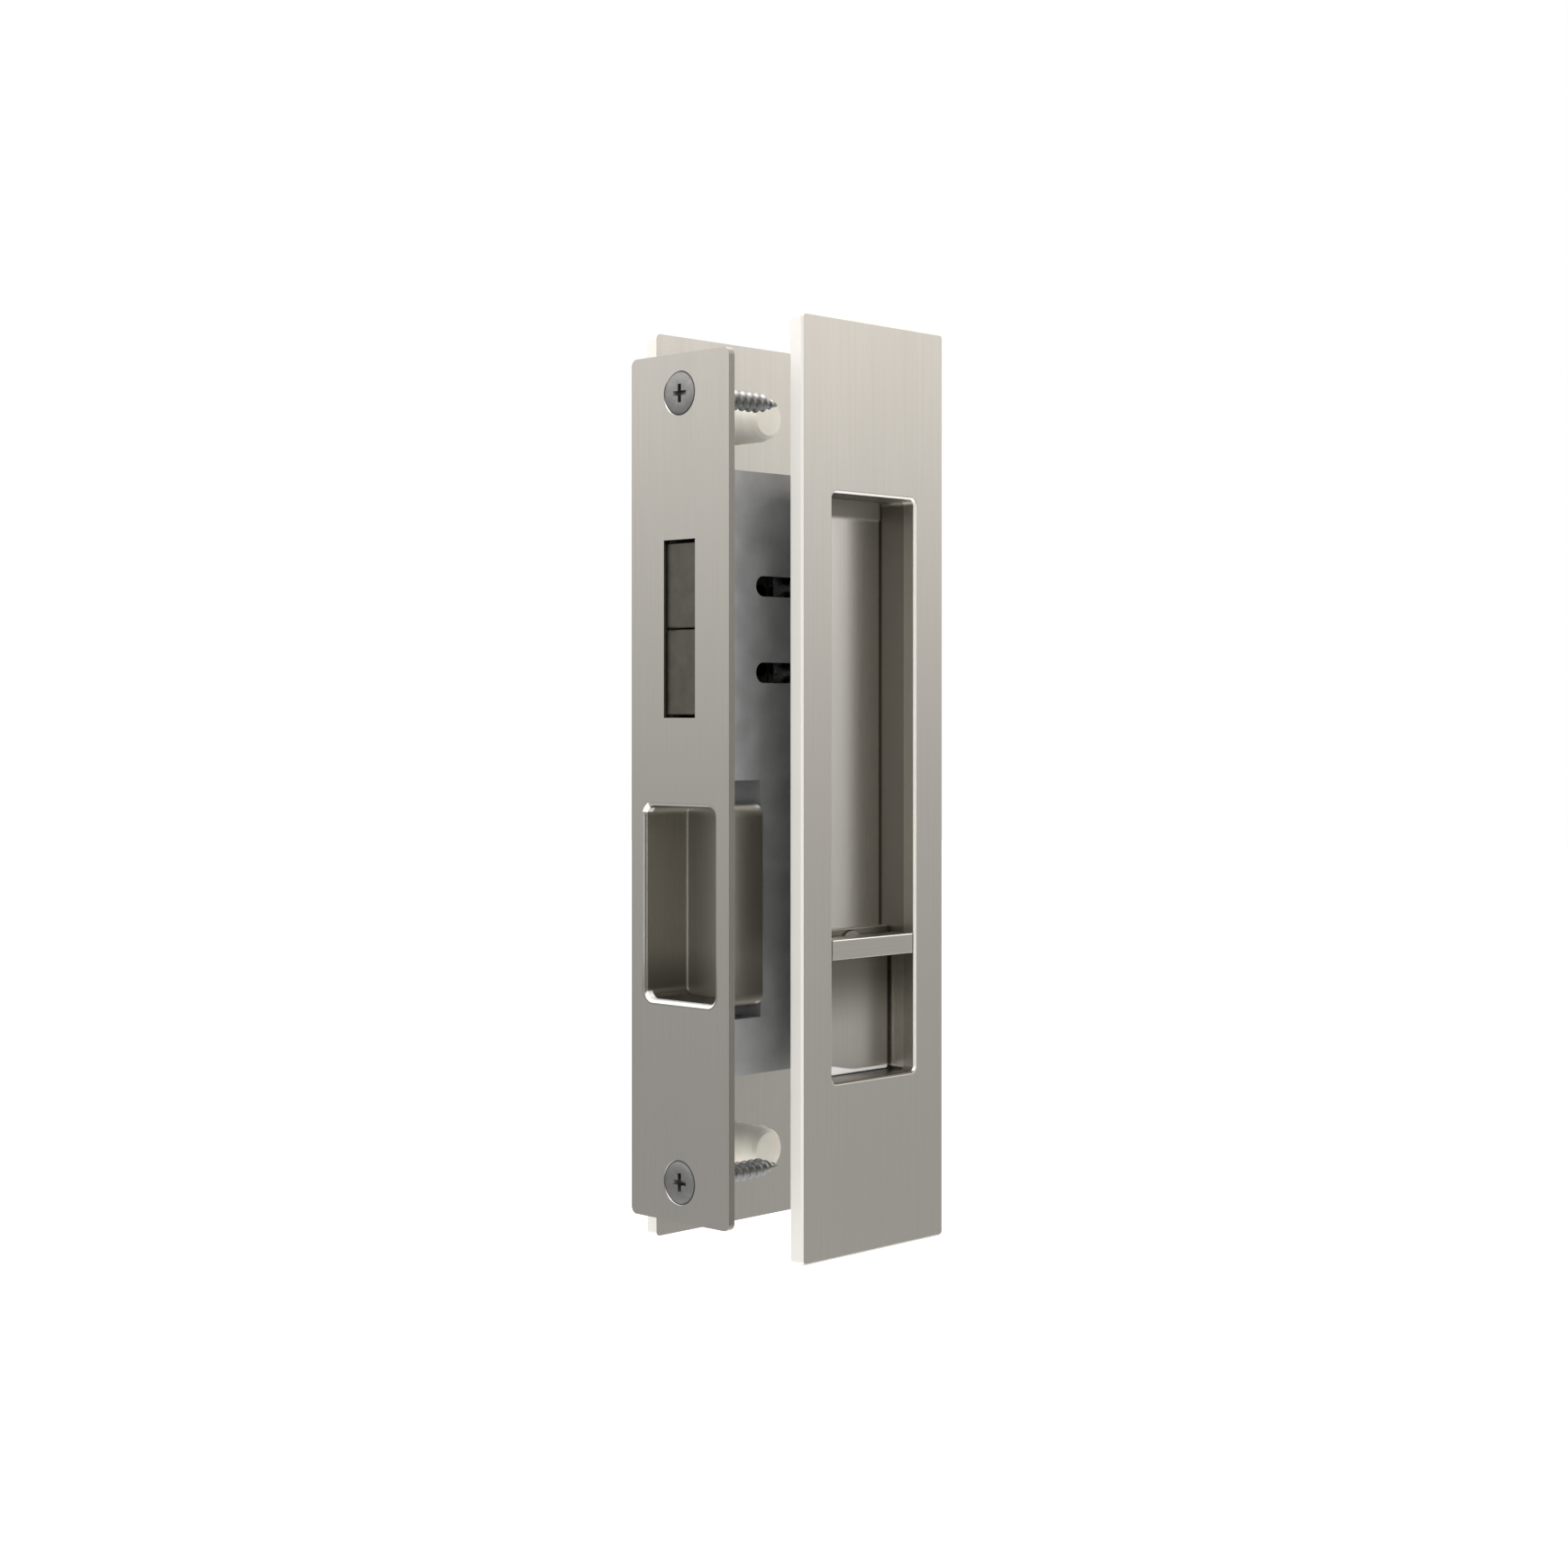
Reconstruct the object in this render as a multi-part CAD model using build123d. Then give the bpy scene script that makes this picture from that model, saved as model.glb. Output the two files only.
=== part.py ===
from build123d import *
import math
import os

# Flush pull privacy set, as fitted round the edge of a sliding door, without the door.
# Millimetres. X runs into the door from the face of the edge plate, Y across the door
# from the inside room (-Y) to the outside room (+Y), and Z is up. The origin is the
# centre of the edge plate's face.

# Door that the set is made for
door_thickness = 39.2
backset = 33.5             # door edge to the turn's axis and the middle of each pull
turn_z = -32.8             # height of the turn's axis

# Flush pulls: a flat plate on each door face with a deep tray behind its opening
plate_w = 43.0
plate_h = 190.0
plate_t = 3.2
plate_corner_r = 1.0
plate_edge_bevel = 0.4
recess_w = 25.2
recess_h = 119.0
recess_depth = 9.8         # plate face to tray floor
recess_corner_r = 1.2
recess_lip_r = 0.6
tray_wall = 1.0
tray_flange = 2.5
base_t = 2.8               # raised plate that carries the turn
base_top_z = -29.3
release_base_top_z = -24.5
base_side_gap = 0.7        # dark joint beside the base
base_end_gap = 0.05
base_corner_r = 0.6
base_edge_r = 0.35
neck_gap = 0.15            # bore of the base round the neck

# Fixing studs and their nylon plugs behind each pull plate
stud_z = 78.0
stud_r = 2.0
stud_len = 11.0
plug_r = 4.5
plug_len = 12.0
plug_rib = 0.5
plug_rib_len = 1.6
plug_rib_pitch = 4.2
plug_rib_start = 3.4
plug_rib_count = 2

# Edge plate, the forend behind it and their two wood screws
face_w = 28.4
face_h = 175.2
face_t = 1.6
face_corner_r = 1.5
forend_w = 25.4
forend_h = 171.0
forend_t = 1.5
screw_z = 79.6
screw_head_r = 4.45
screw_head_gap = 0.12
screw_neck_r = 2.3         # plain neck through the forend
screw_neck_end = 6.0
screw_shank_r = 2.1        # over the thread
screw_len = 28.0
screw_point = 5.0
screw_point_r = 0.3
screw_hole_gap = 0.3
screw_cross_len = 4.6
screw_cross_w = 1.0
screw_cross_depth = 1.6

# Edge pull: a small drawn cup in the edge plate
cup_w = 20.0
cup_h = 39.3
cup_z = -23.6
cup_depth = 11.8
cup_corner_r = 2.0
cup_lip_r = 0.85
cup_wall = 1.0
cup_tab_w = 8.0
cup_tab_h = 3.6
cup_tab_t = 1.0
cup_window_gap = 0.2       # forend window round the cup and its tabs

# Hook slot and the pair of hooks
slot_w = 9.1
slot_z = 32.1
slot_h = 36.0
hook_t = 8.7
hook_split = 0.3           # gap between the two hooks
hook_recess = 0.8          # hook faces behind the edge plate's face
hook_top_gap = 0.5
hook_head = 3.8            # length of the hook's head along X
hook_head_slope = 0.36
hook_notch = 3.4
hook_notch_run = 0.5
hook_heel_run = 9.0        # slope under the boss, along X
hook_edge = 0.3
hook_angle = 8.0           # spread of each hook when locked, degrees
hook_pivot_x = 26.0
hook_pivot_dz = 8.8
hook_boss_r = 4.6
hook_pin_r = 2.0
cam_post_x = 8.0
cam_post_r = 1.5
cam_slot_gap = 0.12
cam_slot_points = 7

# Lock case
case_half = 9.0            # half thickness of the case
case_wall = 1.2
case_top = 64.0
case_bottom = -58.0
case_back = 50.0
case_notch_x = 14.2        # front of the case behind the edge pull
case_notch_top = 1.5
case_notch_bottom = -46.6
pillar_r = 3.0
pillar_x = 44.5
pillar_zs = (-51.0, 2.0, 57.0)
cover_screw_r = 1.5
cover_screw_head_r = 2.7
cover_screw_head_t = 1.3
cover_screw_len = 8.0
cover_screw_gap = 0.1
pillar_bore = 8.0
rivet_r = 1.3              # reduced ends riveted in the case back
rivet_gap = 0.05
rivet_head_r = 1.9
rivet_head_t = 0.5
forend_screw_inset = 4.5   # from the case's top and from its notch
forend_screw_over = 2.0

# Rack slide and follower
tooth_module = 1.4
follower_teeth = 10
pressure_deg = 25.0
tooth_addendum = 0.8 * tooth_module
tooth_dedendum = 1.05 * tooth_module
tooth_gap = 0.12           # clearance on each flank
tooth_foot = 0.4           # how far a tooth reaches into the root circle
gear_over = 0.3            # the follower's teeth are wider than the slide
turn_deg = 90.0
slide_t = 1.5
slide_left = 17.5
slide_rack_back = 1.3      # pitch line to the bottom of the rack's gaps
slide_head_top = 37.5
slide_head_bottom = 16.0
slide_head_side = 3.5       # slide beyond the drive slot
slide_head_corner_r = 2.0
slide_bar_corner_r = 1.0
slide_tail_pitches = 1.6
slide_post_r = 1.8
slide_post_head_r = 2.9
slide_post_head_t = 1.5
slide_post_x = 20.8
slide_post_zs = (-17.0, 9.0)
slide_gap = 0.1
cam_slot_deg = 45.0        # slope of the slide's drive slot from the vertical
drive_pin_x = 36.0
drive_pin_r = 1.8
hub_r = 5.6
hub_journal_gap = 0.06

# Carriage, the yoke that carries both hooks
yoke_cheek_in = 4.55
yoke_cheek_t = 1.4
yoke_front = 21.0
yoke_web_x = 31.2
yoke_web_t = 1.8
yoke_half_h = 13.2
yoke_tail_w = 8.0
yoke_tail_over = 2.4
yoke_corner_r = 1.5

# Turn, release and spindle
spindle_w = 5.0
spindle_end_w = 3.0        # reduced ends, in the two journals
spindle_gap = 0.08
spindle_half = 15.4
spindle_end_gap = 0.3
spindle_shoulder_gap = 0.2
snib_len = 24.4
snib_h = 4.1
snib_front_gap = 0.3       # snib face behind the plate face
snib_depth = 5.8
snib_edge_r = 0.25
hub_neck_r = 2.9
bush_wall = 0.5
bush_flange_w = 1.2
bush_flange_t = 0.6
bush_gap = 0.05
journal_end = 10.6         # inner end of the snib's and the release's journal
clip_t = 0.7
clip_r = 4.6
clip_groove_r = 2.5
clip_mouth_w = 4.0
release_disc_r = 6.0
release_proud = 0.4
release_disc_t = 1.6
release_disc_edge = 0.3
release_side_gap = 0.2
release_back_gap = 0.05
release_slot_w = 1.8
release_slot_d = 1.1

# Worked out from the values above
door_half = door_thickness / 2
plate_face = door_half + plate_t
floor_y = plate_face - recess_depth
base_y = floor_y + base_t
pitch_r = tooth_module * follower_teeth / 2
tooth_pitch = math.pi * tooth_module
slide_travel = pitch_r * math.radians(turn_deg)
throw = slide_travel * math.tan(math.radians(cam_slot_deg))
rack_line = backset - pitch_r
inner_half = case_half - case_wall
hook_front = hook_recess
slot_top = slot_z + slot_h / 2
forend_back = face_t + forend_t
slide_y1 = inner_half - slide_gap
slide_y0 = slide_y1 - slide_t
yoke_cheek_out = yoke_cheek_in + yoke_cheek_t
tray_back = floor_y - tray_wall
bush_back = tray_back - bush_flange_t
forend_screw_zs = (case_top - forend_screw_inset, case_notch_bottom - forend_screw_inset)
rivet_places = (
    [(pillar_x, z) for z in pillar_zs]
    + [(cam_post_x, slot_z + side * hook_pivot_dz) for side in (-1, 1)]
    + [(slide_post_x, z) for z in slide_post_zs])
release_seat_y = base_y + release_proud - release_disc_t - release_back_gap


def slab_y(sketch, y0, y1):
    """A sketch drawn as (x, z), filled from y0 to y1."""
    return extrude(Plane.XZ.offset(-y0) * sketch, amount=y0 - y1)


def slab_x(sketch, x0, x1):
    """A sketch drawn as (y, z), filled from x0 to x1."""
    return extrude(Plane.YZ.offset(x0) * sketch, amount=x1 - x0)


def rod_y(x, z, r, y0, y1):
    """A round bar across the door."""
    return slab_y(Pos(x, z) * Circle(r), y0, y1)


def rivet(x, z):
    """Reduced end of a post or pillar, through the case back, with its formed head."""
    end = rod_y(x, z, rivet_r, inner_half, case_half)
    return end + rod_y(x, z, rivet_head_r, case_half, case_half + rivet_head_t)


def outside(part):
    """The same piece turned to the outside face of the door."""
    return mirror(part, about=Plane.XZ)


def polygon(points):
    """A filled outline with straight sides."""
    return make_face(Polyline(*points, close=True))


def save(part, name):
    """Write one node, as one solid or a group of separate solids."""
    part.label = name
    export_step(part, f"parts/{name}.step")


def rounded_bar(x0, x1, z0, z1, corner):
    """A rectangle between two corners, with rounded corners, drawn as (x, z)."""
    return Pos((x0 + x1) / 2, (z0 + z1) / 2) * RectangleRounded(x1 - x0, z1 - z0, corner)


def pull_plate():
    """Flat inside plate with its bevelled edge and the rolled lip of its opening."""
    outline = Pos(backset, 0) * RectangleRounded(plate_w, plate_h, plate_corner_r)
    plate = slab_y(outline, -plate_face, -door_half)
    rim = plate.faces().sort_by(Axis.Y)[0].edges()
    plate = chamfer(rim, plate_edge_bevel)
    mouth = Pos(backset, 0) * RectangleRounded(recess_w, recess_h, recess_corner_r)
    plate -= slab_y(mouth, -plate_face, -door_half)
    lip = plate.faces().sort_by(Axis.Y)[0].inner_wires()[0].edges()
    return fillet(lip, recess_lip_r)


def pull_tray():
    """Drawn tray behind the plate: four walls, a floor and a welded flange."""
    grow = 2 * tray_wall
    outer = Pos(backset, 0) * RectangleRounded(
        recess_w + grow, recess_h + grow, recess_corner_r + tray_wall)
    inner = Pos(backset, 0) * RectangleRounded(recess_w, recess_h, recess_corner_r)
    reach = 2 * (tray_wall + tray_flange)
    flange = Pos(backset, 0) * RectangleRounded(
        recess_w + reach, recess_h + reach, recess_corner_r + tray_wall + tray_flange)
    tray = slab_y(outer, -door_half, -tray_back)
    tray += slab_y(flange, -door_half, -door_half + tray_wall)
    tray -= slab_y(inner, -door_half, -floor_y)
    return tray - rod_y(backset, turn_z, hub_neck_r + bush_wall + bush_gap, -floor_y, 0)


def turn_base(top_z):
    """Raised plate in the bottom of the tray, with a soft front edge, bored for the neck."""
    reach = recess_w / 2 - base_side_gap
    outline = rounded_bar(
        backset - reach, backset + reach, -recess_h / 2 + base_end_gap, top_z, base_corner_r)
    base = slab_y(outline, -base_y, -floor_y)
    base = fillet(base.faces().sort_by(Axis.Y)[0].edges(), base_edge_r)
    return base - rod_y(backset, turn_z, hub_neck_r + neck_gap, -base_y, -floor_y)


def turn_bush():
    """Nylon bush in the tray floor, with a flange behind it."""
    bush = rod_y(backset, turn_z, hub_neck_r + bush_wall, -floor_y, -tray_back)
    bush += rod_y(backset, turn_z, hub_neck_r + bush_wall + bush_flange_w, -tray_back, -bush_back)
    return bush - rod_y(backset, turn_z, hub_neck_r + bush_gap, -floor_y, 0)


def clip():
    """Open retaining ring in the journal's groove, behind the bush."""
    y0 = -bush_back + bush_gap
    ring = rod_y(backset, turn_z, clip_r, y0, y0 + clip_t)
    ring -= rod_y(backset, turn_z, clip_groove_r + bush_gap, y0, y0 + clip_t)
    mouth = Pos(backset, turn_z - clip_r) * Rectangle(clip_mouth_w, 2 * clip_r)
    return ring - slab_y(mouth, y0, y0 + clip_t)


def journal(front_y):
    """Round journal with its ring groove and the square socket for the spindle."""
    part = rod_y(backset, turn_z, hub_neck_r, front_y, -journal_end)
    groove_end = -bush_back + clip_t + 2 * bush_gap
    groove = rod_y(backset, turn_z, hub_neck_r + bush_gap, -bush_back, groove_end)
    return part - (groove - rod_y(backset, turn_z, clip_groove_r, -bush_back, groove_end))


def spindle_socket():
    """Square hole in a journal that the spindle's end slides into."""
    side = spindle_end_w + 2 * spindle_gap
    square = Pos(backset, turn_z) * Rectangle(side, side)
    return slab_y(square, -spindle_half - spindle_end_gap, -journal_end)


def turn_snib():
    """Finger bar of the turn, its neck and journal, turned from one piece."""
    front = -plate_face + snib_front_gap
    bar = slab_y(Pos(backset, turn_z) * Rectangle(snib_len, snib_h), front, front + snib_depth)
    bar = fillet(bar.faces().sort_by(Axis.Y)[0].edges(), snib_edge_r)
    snib = bar + journal(front + snib_depth)
    return snib - spindle_socket()


def release_turn():
    """Coin turn for the outside, drawn on the inside and turned over later."""
    front = -base_y - release_proud
    disc = rod_y(backset, turn_z, release_disc_r, front, front + release_disc_t)
    disc = chamfer(disc.faces().sort_by(Axis.Y)[0].edges(), release_disc_edge)
    coin = Pos(backset, turn_z) * Rectangle(release_slot_w, 2 * release_disc_r)
    disc -= slab_y(coin, front, front + release_slot_d)
    turn = disc + journal(front + release_disc_t)
    return turn - spindle_socket()


def studs():
    """Two welded studs on the back of a pull plate."""
    return Compound([
        rod_y(backset, z, stud_r, -door_half, -door_half + stud_len)
        for z in (-stud_z, stud_z)])


def plugs():
    """Two ribbed nylon plugs, pressed over the studs."""
    group = []
    low = (Align.CENTER, Align.CENTER, Align.MIN)
    rib = Cone(plug_r + plug_rib, plug_r, plug_rib_len, align=low)
    for z in (-stud_z, stud_z):
        plug = rod_y(backset, z, plug_r, -door_half, -door_half + plug_len)
        for i in range(plug_rib_count):
            y = -door_half + plug_rib_start + plug_rib_pitch * i
            plug += Plane(origin=(backset, y, z), z_dir=(0, 1, 0)) * rib
        plug -= rod_y(backset, z, stud_r, -door_half, -door_half + stud_len)
        group.append(plug)
    return Compound(group)


def edge_plate():
    """Face plate on the door edge: countersunk holes, hook slot and the cup's opening."""
    plate = slab_x(RectangleRounded(face_w, face_h, face_corner_r), 0, face_t)
    grow = 2 * cup_wall
    cup = Pos(0, cup_z) * RectangleRounded(cup_w + grow, cup_h + grow, cup_corner_r + cup_wall)
    plate -= slab_x(cup, 0, face_t)
    plate -= slab_x(Pos(0, slot_z) * Rectangle(slot_w, slot_h), 0, face_t)
    for z in (-screw_z, screw_z):
        plate -= screw_seat(z)
    return plate


def screw_seat(z):
    """Countersink and clearance hole for one wood screw."""
    slope = screw_head_r - screw_neck_r
    seat = Plane(origin=(0, 0, z), z_dir=(1, 0, 0)) * Cone(
        screw_head_r + screw_head_gap, screw_neck_r + screw_head_gap, slope,
        align=(Align.CENTER, Align.CENTER, Align.MIN))
    hole = slab_x(Pos(0, z) * Circle(screw_neck_r + screw_hole_gap), 0, forend_back)
    return seat + hole


def forend():
    """Steel bar behind the edge plate, fixed to the case."""
    bar = slab_x(RectangleRounded(forend_w, forend_h, face_corner_r), face_t, forend_back)
    grow = 2 * (cup_wall + cup_window_gap)
    window = Pos(0, cup_z) * RectangleRounded(cup_w + grow, cup_h + grow, cup_corner_r + cup_wall)
    bar -= slab_x(window, face_t, forend_back)
    for side in (-1, 1):
        tab_z = cup_z + side * (cup_h / 2 + cup_wall + cup_tab_h / 2)
        tab = Pos(0, tab_z) * Rectangle(cup_tab_w + 2 * cup_window_gap, cup_tab_h + 2 * cup_window_gap)
        bar -= slab_x(tab, face_t, forend_back)
    bar -= slab_x(Pos(0, slot_z) * Rectangle(slot_w, slot_h), face_t, forend_back)
    for z in (-screw_z, screw_z):
        bar -= screw_seat(z)
    for z in forend_screw_zs:
        bar -= forend_screw(z, cover_screw_head_r + cover_screw_gap, cover_screw_r + cover_screw_gap)
    return bar


def forend_screw(z, head, shank):
    """Small countersunk screw that ties the forend to the case."""
    cone = Plane(origin=(face_t, 0, z), z_dir=(1, 0, 0)) * Cone(
        head, shank, head - shank, align=(Align.CENTER, Align.CENTER, Align.MIN))
    return cone + slab_x(Pos(0, z) * Circle(shank), face_t, forend_back + case_wall + forend_screw_over)


def wood_screw(z):
    """Countersunk wood screw with a cross recess, plain neck, threaded shank and point."""
    slope = screw_head_r - screw_neck_r
    place = Plane(origin=(0, 0, z), z_dir=(1, 0, 0))
    low = (Align.CENTER, Align.CENTER, Align.MIN)
    screw = place * Cone(screw_head_r, screw_neck_r, slope, align=low)
    screw += slab_x(Pos(0, z) * Circle(screw_neck_r), slope, screw_neck_end)
    screw += slab_x(Pos(0, z) * Circle(screw_shank_r), screw_neck_end, screw_len - screw_point)
    tip = Plane(origin=(screw_len - screw_point, 0, z), z_dir=(1, 0, 0))
    screw += tip * Cone(screw_shank_r, screw_point_r, screw_point, align=low)
    cross = Rectangle(screw_cross_len, screw_cross_w) + Rectangle(screw_cross_w, screw_cross_len)
    return screw - slab_x(Pos(0, z) * cross, 0, screw_cross_depth)


def edge_cup():
    """Drawn cup with a rolled lip and two weld tabs."""
    grow = 2 * cup_wall
    outer = Pos(0, cup_z) * RectangleRounded(cup_w + grow, cup_h + grow, cup_corner_r + cup_wall)
    inner = Pos(0, cup_z) * RectangleRounded(cup_w, cup_h, cup_corner_r)
    cup = slab_x(outer, 0, cup_depth + cup_wall) - slab_x(inner, 0, cup_depth)
    lip = cup.faces().sort_by(Axis.X)[0].inner_wires()[0].edges()
    cup = fillet(lip, cup_lip_r)
    for side in (-1, 1):
        tab_z = cup_z + side * (cup_h / 2 + cup_wall + cup_tab_h / 2)
        cup += slab_x(Pos(0, tab_z) * Rectangle(cup_tab_w, cup_tab_h), face_t, face_t + cup_tab_t)
    return cup


def case_outline(inset):
    """Side view of the case: an upright box cut away behind the edge pull."""
    front = forend_back + inset
    notch = case_notch_x + inset
    return polygon([
        (front, case_top - inset), (case_back - inset, case_top - inset),
        (case_back - inset, case_bottom + inset), (front, case_bottom + inset),
        (front, case_notch_bottom - inset), (notch, case_notch_bottom - inset),
        (notch, case_notch_top + inset), (front, case_notch_top + inset)])


def lock_case():
    """Folded steel tray: walls all round and the back sheet on the outside."""
    case = slab_y(case_outline(0), -inner_half, case_half)
    case -= slab_y(case_outline(case_wall), -inner_half, inner_half)
    slot = Pos(0, slot_z) * Rectangle(slot_w, slot_h)
    case -= slab_x(slot, forend_back, forend_back + case_wall)
    case -= rod_y(backset, turn_z, hub_r + hub_journal_gap, inner_half, case_half)
    case -= drive_guide(inner_half, case_half)
    for z in forend_screw_zs:
        hole = Pos(0, z) * Circle(cover_screw_r + cover_screw_gap)
        case -= slab_x(hole, forend_back, forend_back + case_wall)
    for x, z in rivet_places:
        case -= rod_y(x, z, rivet_r + rivet_gap, inner_half, case_half)
    return case


def drive_guide(y0, y1):
    """Level slot that the end of the drive pin runs in."""
    r = drive_pin_r + slide_gap
    centre = Pos(drive_pin_x - throw / 2, slot_z)
    return slab_y(centre * SlotOverall(throw + 2 * r, 2 * r), y0, y1)


def case_cover():
    """Cover sheet on the inside, with guide slots for the hook pins."""
    cover = slab_y(case_outline(0), -case_half, -inner_half)
    cover -= rod_y(backset, turn_z, hub_r + hub_journal_gap, -case_half, -inner_half)
    r = hook_pin_r + slide_gap
    for side in (-1, 1):
        centre = Pos(hook_pivot_x - throw / 2, slot_z + side * hook_pivot_dz)
        cover -= slab_y(centre * SlotOverall(throw + 2 * r, 2 * r), -case_half, -inner_half)
    for z in pillar_zs:
        cover -= rod_y(pillar_x, z, cover_screw_r + cover_screw_gap, -case_half, -inner_half)
    return cover


def pillars():
    """Threaded pillars between the case back and the cover."""
    return Compound([
        rod_y(pillar_x, z, pillar_r, -inner_half, inner_half)
        - rod_y(pillar_x, z, cover_screw_r, -inner_half, -inner_half + pillar_bore)
        + rivet(pillar_x, z)
        for z in pillar_zs])


def cover_screws():
    """Cheese-head screws through the cover into the pillars."""
    return Compound([
        rod_y(pillar_x, z, cover_screw_head_r, -case_half - cover_screw_head_t, -case_half)
        + rod_y(pillar_x, z, cover_screw_r, -case_half, -case_half + cover_screw_len)
        for z in pillar_zs])


def hook():
    """Upper hook: head with its notch, neck, pivot boss and cam slot."""
    split = slot_z + hook_split / 2
    pivot_z = slot_z + hook_pivot_dz
    top = slot_top - hook_top_gap
    head_back = hook_front + hook_head
    head_low = top - hook_head * hook_head_slope
    outline = polygon([
        (hook_front, split), (hook_front, top), (head_back, head_low),
        (head_back + hook_notch_run, head_low - hook_notch),
        (hook_pivot_x, pivot_z + hook_boss_r), (hook_pivot_x, pivot_z - hook_boss_r),
        (hook_pivot_x - hook_heel_run, split)])
    outline += Pos(hook_pivot_x, pivot_z) * Circle(hook_boss_r)
    body = slab_y(outline, -hook_t / 2, hook_t / 2)
    edges = body.edges().filter_by(Axis.Y).sort_by(Axis.X)[:2]
    body = chamfer(edges, hook_edge)
    body -= rod_y(hook_pivot_x, pivot_z, hook_pin_r + hub_journal_gap, -hook_t, hook_t)
    path = []
    for i in range(cam_slot_points):
        done = i / (cam_slot_points - 1)
        angle = math.radians(hook_angle) * done
        reach = cam_post_x - hook_pivot_x + throw * done
        path.append((hook_pivot_x + reach * math.cos(angle), pivot_z + reach * math.sin(angle)))
    width = 2 * (cam_post_r + cam_slot_gap)
    groove = trace(Spline(*path), line_width=width)
    for end in (path[0], path[-1]):
        groove += Pos(*end) * Circle(width / 2)
    return body - slab_y(groove, -hook_t, hook_t)


def lower_hook(upper):
    """The lower hook is the upper one turned over about the split."""
    return mirror(upper, about=Plane(origin=(0, 0, slot_z), z_dir=(0, 0, 1)))


def cam_posts():
    """Posts fixed in the case that spread the hooks as they run out."""
    return Compound([
        rod_y(cam_post_x, slot_z + side * hook_pivot_dz, cam_post_r, -inner_half, inner_half)
        + rivet(cam_post_x, slot_z + side * hook_pivot_dz)
        for side in (-1, 1)])


def hook_pins():
    """Pivot pins of the hooks, through the yoke and into the cover's guide slots."""
    return Compound([
        rod_y(hook_pivot_x, slot_z + side * hook_pivot_dz, hook_pin_r, -case_half, yoke_cheek_out)
        for side in (-1, 1)])


def yoke():
    """Folded yoke: two cheeks outside the hooks, a web behind them and a tail."""
    cheek = rounded_bar(yoke_front, yoke_web_x + yoke_web_t,
                        slot_z - yoke_half_h, slot_z + yoke_half_h, yoke_corner_r)
    tail = rounded_bar(yoke_web_x, drive_pin_x + drive_pin_r + yoke_tail_over,
                       slot_z - yoke_tail_w / 2, slot_z + yoke_tail_w / 2, yoke_corner_r)
    body = slab_y(cheek, -yoke_cheek_out, -yoke_cheek_in)
    body += slab_y(cheek + tail, yoke_cheek_in, yoke_cheek_out)
    web = Pos(yoke_web_x + yoke_web_t / 2, slot_z) * Rectangle(
        yoke_web_t, 2 * (yoke_half_h - yoke_corner_r))
    body += slab_y(web, -yoke_cheek_in, yoke_cheek_in)
    for side in (-1, 1):
        body -= rod_y(hook_pivot_x, slot_z + side * hook_pivot_dz, hook_pin_r, -case_half, case_half)
    return body - rod_y(drive_pin_x, slot_z, drive_pin_r, 0, case_half)


def drive_pin():
    """Pin on the yoke's tail that the slide's slot drives."""
    return rod_y(drive_pin_x, slot_z, drive_pin_r, yoke_cheek_in, case_half)


def rack_slide():
    """Upright slide: rack teeth below, guide slots, and the sloping drive slot above."""
    bottom = turn_z - slide_travel - slide_tail_pitches * tooth_pitch
    rack_root = rack_line - slide_rack_back
    head_right = drive_pin_x + drive_pin_r + slide_head_side
    head = rounded_bar(slide_left, head_right, slide_head_bottom, slide_head_top, slide_head_corner_r)
    bar = rounded_bar(slide_left, rack_root, bottom,
                      slide_head_bottom + 2 * slide_head_corner_r, slide_bar_corner_r)
    sketch = bar + head
    half = tooth_pitch / 4 - tooth_gap
    lean = math.tan(math.radians(pressure_deg))
    first = math.floor((bottom - turn_z) / tooth_pitch + 1)
    for i in range(first, 2):
        z = turn_z + (i - 0.5) * tooth_pitch
        if z - tooth_pitch / 2 < bottom:
            continue
        root = half + slide_rack_back * lean
        tip = half - tooth_addendum * lean
        inside = rack_root - tooth_foot
        sketch += polygon([
            (inside, z - root), (rack_root, z - root), (rack_line + tooth_addendum, z - tip),
            (rack_line + tooth_addendum, z + tip), (rack_root, z + root), (inside, z + root)])
    wide = 2 * (slide_post_r + slide_gap)
    for z in slide_post_zs:
        long_slot = Rot(0, 0, 90) * SlotOverall(slide_travel + wide, wide)
        sketch -= Pos(slide_post_x, z - slide_travel / 2) * long_slot
    run = math.hypot(throw, slide_travel)
    wide = 2 * (drive_pin_r + slide_gap)
    cam = Rot(0, 0, 90 - cam_slot_deg) * SlotOverall(run + wide, wide)
    sketch -= Pos(drive_pin_x - throw / 2, slot_z - slide_travel / 2) * cam
    return slab_y(sketch, slide_y0, slide_y1)


def slide_posts():
    """Shouldered posts that guide the slide, riveted in the case back."""
    return Compound([
        rod_y(slide_post_x, z, slide_post_r, slide_y0 - slide_gap, inner_half)
        + rod_y(slide_post_x, z, slide_post_head_r,
                slide_y0 - slide_gap - slide_post_head_t, slide_y0 - slide_gap)
        + rivet(slide_post_x, z)
        for z in slide_post_zs])


def involute_half_angle(radius):
    """Half the angle that a follower tooth covers at a radius."""
    base_r = pitch_r * math.cos(math.radians(pressure_deg))
    at_pitch = math.radians(pressure_deg)
    at_radius = math.acos(min(1.0, base_r / radius))
    grow = (math.tan(at_pitch) - at_pitch) - (math.tan(at_radius) - at_radius)
    return math.pi / (2 * follower_teeth) - tooth_gap / (2 * pitch_r) + grow


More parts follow.
